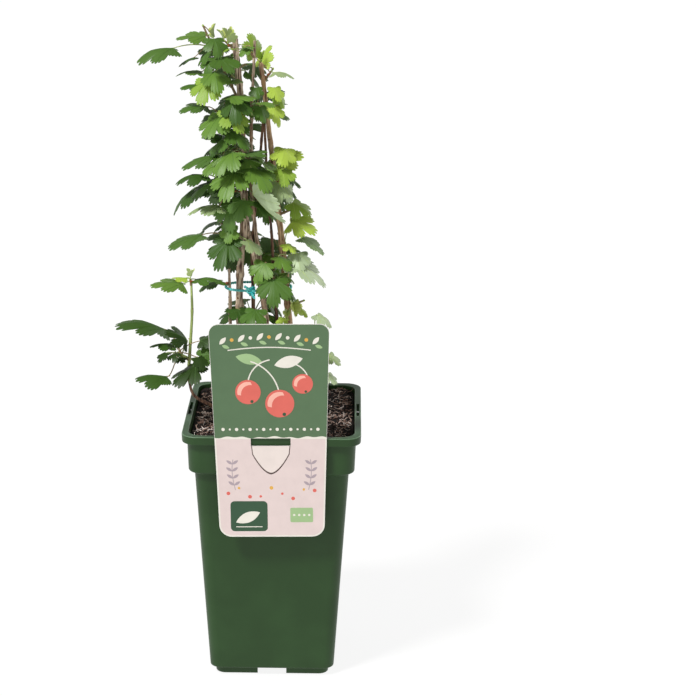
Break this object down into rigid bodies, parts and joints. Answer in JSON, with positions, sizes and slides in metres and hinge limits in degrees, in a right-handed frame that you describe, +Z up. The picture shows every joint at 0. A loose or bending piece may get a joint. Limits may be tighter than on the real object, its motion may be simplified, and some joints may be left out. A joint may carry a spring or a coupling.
{
  "type": "potted gooseberry bush",
  "caption": "Young gooseberry bush tied in a slim column of leafy canes, standing in a square green nursery pot with a hook-on card label.",
  "frame": {"origin": "centre of the pot's flat underside, on the floor", "axes": "+Z up along the plant, -Y towards the side with the card label, +X to the right seen from there"},
  "size_m": [0.2068, 0.1514, 0.5582],
  "materials": {
    "pot_plastic": "moulded dark green polypropylene, semi-matt",
    "potting_soil": "moist dark peat compost with pale fibres",
    "label_card": "printed coated card, green above and pale pink below",
    "tie_string": "teal soft tie string",
    "pale_bark": "pale tan-grey bark, peeling in strips",
    "dark_bark": "dark brown young bark",
    "green_stem": "unripened pale green shoot",
    "leaf_green": "matt green leaves",
    "leaf_dark": "dark green leaves",
    "leaf_bright": "yellow-green leaves",
    "leaf_silver": "pale silvery undersides of leaves",
    "leaf_young": "small new leaves, yellow-green"
  },
  "bodies": {
    "root": {"cane_crossing": "pale_bark", "cane_dark": "dark_bark", "cane_left": "pale_bark", "cane_middle": "pale_bark", "cane_right": "pale_bark", "cane_slender": "dark_bark", "cane_thick": "pale_bark", "label_card": "label_card", "leaves_back_foot": "leaf_green", "leaves_back_left": "leaf_green", "leaves_back_low_left": "leaf_green", "leaves_back_low_right": "leaf_green", "leaves_back_middle": "leaf_green", "leaves_back_right": "leaf_green", "leaves_back_top": "leaf_green", "leaves_back_upper": "leaf_green", "leaves_behind_label": "leaf_dark", "leaves_between_canes": "leaf_dark", "leaves_centre_dark": "leaf_dark", "leaves_front_low": "leaf_green", "leaves_left_foot": "leaf_dark", "leaves_lone_left": "leaf_dark", "leaves_low_left": "leaf_dark", "leaves_lower_left": "leaf_dark", "leaves_middle_front": "leaf_dark", "leaves_middle_left": "leaf_dark", "leaves_middle_tip": "leaf_bright", "leaves_right_branch": "leaf_bright", "leaves_right_hanging": "leaf_bright", "leaves_right_lower": "leaf_bright", "leaves_right_middle": "leaf_bright", "leaves_right_pale": "leaf_silver", "leaves_right_silver": "leaf_silver", "leaves_right_tip": "leaf_bright", "leaves_shoot_tip": "leaf_young", "leaves_thick_tip": "leaf_young", "leaves_top_left": "leaf_bright", "leaves_upper_front": "leaf_green", "leaves_upper_left": "leaf_dark", "leaves_young_right": "leaf_young", "left_shoot": "green_stem", "low_branch": "dark_bark", "pot": "pot_plastic", "right_branch": "pale_bark", "soil": "potting_soil", "tie_lower": "tie_string", "tie_upper": "tie_string"}
  },
  "joints": []
}
